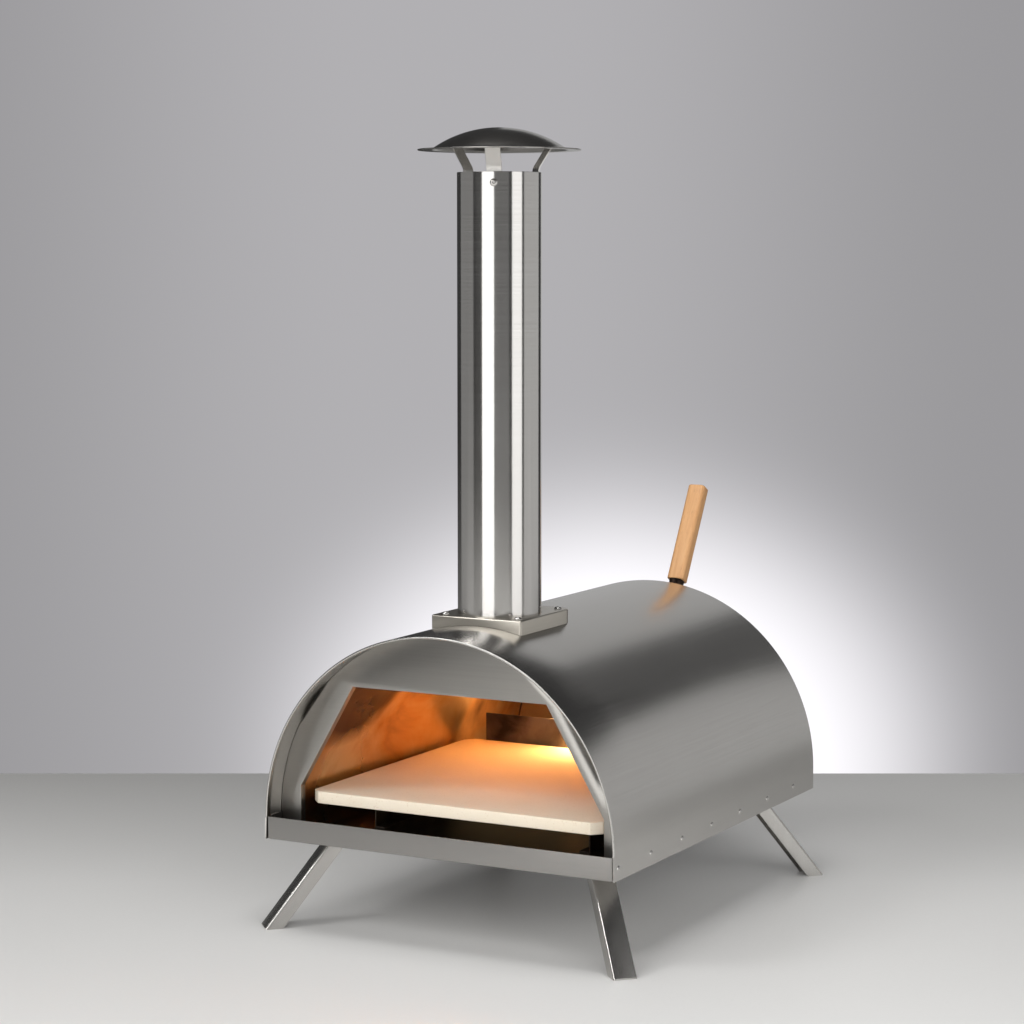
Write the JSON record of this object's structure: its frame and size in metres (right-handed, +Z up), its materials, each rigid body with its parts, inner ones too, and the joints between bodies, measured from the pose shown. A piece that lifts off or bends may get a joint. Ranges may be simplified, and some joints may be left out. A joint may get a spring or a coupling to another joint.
{
  "type": "wood fired pizza oven",
  "caption": "Table-top wood fired pizza oven: insulated steel vault on folding legs, baking stone, capped chimney and a lidded rear fuel hopper.",
  "frame": {"origin": "on the floor under the middle of the oven's overall box", "axes": "+Z up, -Y out of the mouth, +X to the right seen from the mouth"},
  "size_m": [0.4362, 0.641, 0.8222],
  "materials": {
    "shell_steel": "long-grain brushed stainless sheet",
    "pan_steel": "brushed stainless sheet",
    "face_steel": "fine satin stainless sheet",
    "heat_tinted_steel": "stainless sheet tinted by heat",
    "ceramic_fibre": "matt needled blanket",
    "burner_steel": "heat-darkened steel sheet",
    "hopper_steel": "brushed stainless sheet",
    "fastener_steel": "turned and rolled stainless",
    "ferrule_steel": "blackened steel",
    "base_steel": "satin stainless sheet",
    "flue_steel": "bright ground stainless tube",
    "cap_steel": "pressed stainless, bright",
    "strap_steel": "stainless strip",
    "bracket_steel": "folded stainless sheet",
    "leg_steel": "folded bright stainless sheet",
    "cordierite": "pressed and fired, matt",
    "beech": "turned and sanded, oiled"
  },
  "bodies": {
    "root": {"base_pan": "pan_steel", "outer_shell": "shell_steel", "shell_rivets": "shell_steel", "face_plate": "face_steel", "inner_liner": "heat_tinted_steel", "insulation_blanket": "ceramic_fibre", "rear_panel": "face_steel", "panel_rivets": "shell_steel", "stone_rail_left": "burner_steel", "stone_rail_right": "burner_steel", "flame_guard": "burner_steel", "fuel_hopper": "hopper_steel", "hopper_screws": "fastener_steel", "hopper_nuts": "fastener_steel", "flue_sleeve": "heat_tinted_steel", "chimney_base": "base_steel", "tube_flange": "base_steel", "chimney_tube": "flue_steel", "chimney_screws": "fastener_steel", "chimney_nuts": "fastener_steel", "chimney_cap": "cap_steel", "cap_strap_1": "strap_steel", "cap_strap_2": "strap_steel", "cap_strap_3": "strap_steel", "cap_screws": "fastener_steel", "cap_nuts": "fastener_steel", "leg_bracket_front_left": "bracket_steel", "leg_bracket_front_right": "bracket_steel", "leg_bracket_rear_left": "bracket_steel", "leg_bracket_rear_right": "bracket_steel", "bracket_rivets": "fastener_steel", "leg_pins": "fastener_steel"},
    "lid": {"hopper_lid": "hopper_steel", "handle_ferrule": "ferrule_steel", "lid_handle": "beech", "handle_screw": "fastener_steel"},
    "burner": {"burner_tray": "burner_steel", "fire_grate": "burner_steel", "tray_knob": "fastener_steel"},
    "stone": {"pizza_stone": "cordierite"},
    "leg_front_left": {"leg_front_left": "leg_steel"},
    "leg_front_right": {"leg_front_right": "leg_steel"},
    "leg_rear_left": {"leg_rear_left": "leg_steel"},
    "leg_rear_right": {"leg_rear_right": "leg_steel"}
  },
  "joints": [
    {"name": "leg_front_left_fold", "type": "hinge", "parent": "root", "child": "leg_front_left", "pos_m": [-0.15422, -0.2566, 0.08626], "axis": [0.7071, -0.7071, 0], "range_deg": [0, 128]},
    {"name": "leg_front_right_fold", "type": "hinge", "parent": "root", "child": "leg_front_right", "pos_m": [0.15422, -0.2566, 0.08626], "axis": [0.7071, 0.7071, 0], "range_deg": [0, 128]},
    {"name": "leg_rear_left_fold", "type": "hinge", "parent": "root", "child": "leg_rear_left", "pos_m": [-0.15422, 0.13164, 0.08626], "axis": [-0.7071, -0.7071, 0], "range_deg": [0, 128]},
    {"name": "leg_rear_right_fold", "type": "hinge", "parent": "root", "child": "leg_rear_right", "pos_m": [0.15422, 0.13164, 0.08626], "axis": [-0.7071, 0.7071, 0], "range_deg": [0, 128]},
    {"name": "lid_lift", "type": "slide", "parent": "root", "child": "lid", "axis": [0, 0.4955, 0.8686], "range_m": [0, 0.06]},
    {"name": "burner_slide", "type": "slide", "parent": "root", "child": "burner", "axis": [0, 1, 0], "range_m": [0, 0.115]},
    {"name": "stone_slide", "type": "slide", "parent": "root", "child": "stone", "axis": [0, -1, 0], "range_m": [0, 0.3]}
  ]
}
